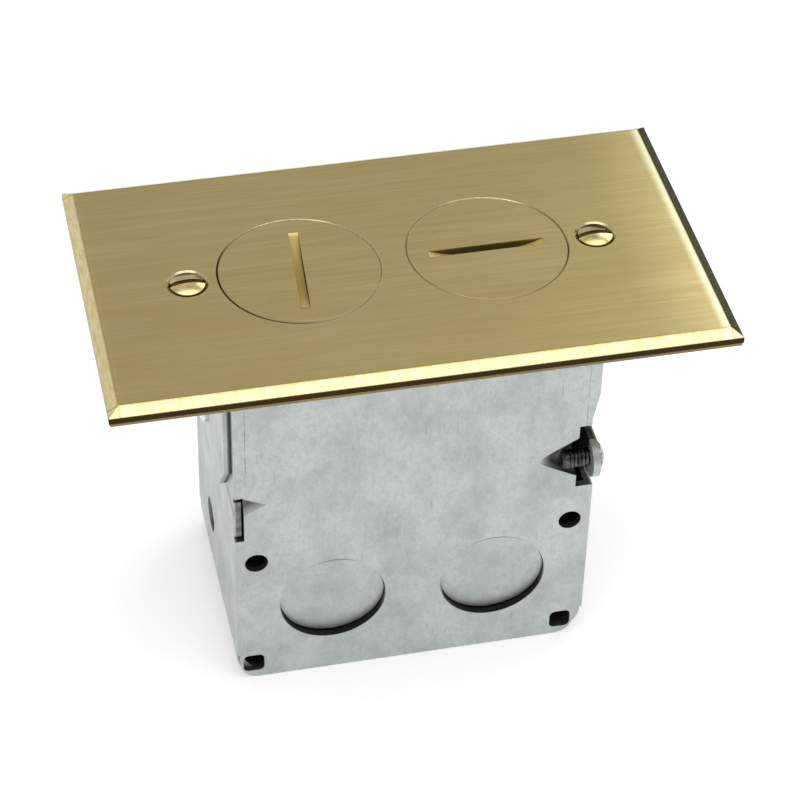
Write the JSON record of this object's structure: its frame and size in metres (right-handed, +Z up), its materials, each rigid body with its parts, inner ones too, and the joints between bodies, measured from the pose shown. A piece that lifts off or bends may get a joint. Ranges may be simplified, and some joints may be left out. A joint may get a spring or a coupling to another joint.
{
  "type": "floor socket box",
  "caption": "Gangable steel floor box with a bevelled brass cover, flush threaded plugs over a duplex receptacle, knockouts and nail holes.",
  "frame": {"origin": "middle of the box's underside", "axes": "+X along the cover's long side, +Y to the back, +Z up towards the cover"},
  "size_m": [0.1244, 0.0706, 0.0893],
  "materials": {
    "satin_brass": "satin, brushed along X",
    "satin_brass_plug": "satin, brushed along X",
    "polished_brass": "polished",
    "gasket_rubber": "matt",
    "galvanised_steel": "galvanised, mottled",
    "plated_screw": "zinc plated",
    "plated_strap": "zinc plated",
    "green_screw": "green",
    "face_plastic": "satin moulding",
    "base_plastic": "matt moulding",
    "contact_brass": "rolled sheet"
  },
  "bodies": {
    "box": {"cover_plate": "satin_brass", "cover_gasket": "gasket_rubber", "cover_screw_left": "polished_brass", "cover_screw_right": "polished_brass", "box_body": "galvanised_steel", "side_panel_front": "galvanised_steel", "side_panel_rear": "galvanised_steel", "knockouts_front": "galvanised_steel", "knockouts_rear": "galvanised_steel", "knockouts_bottom": "galvanised_steel", "gang_screw_front": "plated_screw", "gang_screw_rear": "plated_screw", "ear_bracket_left": "galvanised_steel", "ear_bracket_right": "galvanised_steel", "ear_bracket_screws": "plated_screw", "box_ground_screw": "green_screw", "receptacle_yoke": "plated_strap", "receptacle_face": "face_plastic", "receptacle_base": "base_plastic", "hot_contact_strip": "contact_brass", "neutral_contact_strip": "contact_brass", "ground_strip": "contact_brass", "hot_terminal_screws": "polished_brass", "neutral_terminal_screws": "plated_screw", "receptacle_rivets": "plated_screw"},
    "left_seal": {"plug_seal_left": "gasket_rubber"},
    "left_plug": {"plug_left": "satin_brass_plug"},
    "right_seal": {"plug_seal_right": "gasket_rubber"},
    "right_plug": {"plug_right": "satin_brass_plug"}
  },
  "joints": [
    {"name": "left_plug_lift", "type": "slide", "parent": "box", "child": "left_seal", "axis": [0, 0, 1], "range_m": [0, 0.0045]},
    {"name": "left_plug_turn", "type": "hinge", "parent": "left_seal", "child": "left_plug", "pos_m": [-0.0192, 0, 0.0856], "axis": [0, 0, 1], "range_deg": [0, 1080]},
    {"name": "right_plug_lift", "type": "slide", "parent": "box", "child": "right_seal", "axis": [0, 0, 1], "range_m": [0, 0.0045]},
    {"name": "right_plug_turn", "type": "hinge", "parent": "right_seal", "child": "right_plug", "pos_m": [0.0192, 0, 0.0856], "axis": [0, 0, 1], "range_deg": [0, 1080]}
  ],
  "couplings": [
    {"joint": "left_plug_turn", "follows": "left_plug_lift", "rad_per_m": 4188.8},
    {"joint": "right_plug_turn", "follows": "right_plug_lift", "rad_per_m": 4188.8}
  ]
}
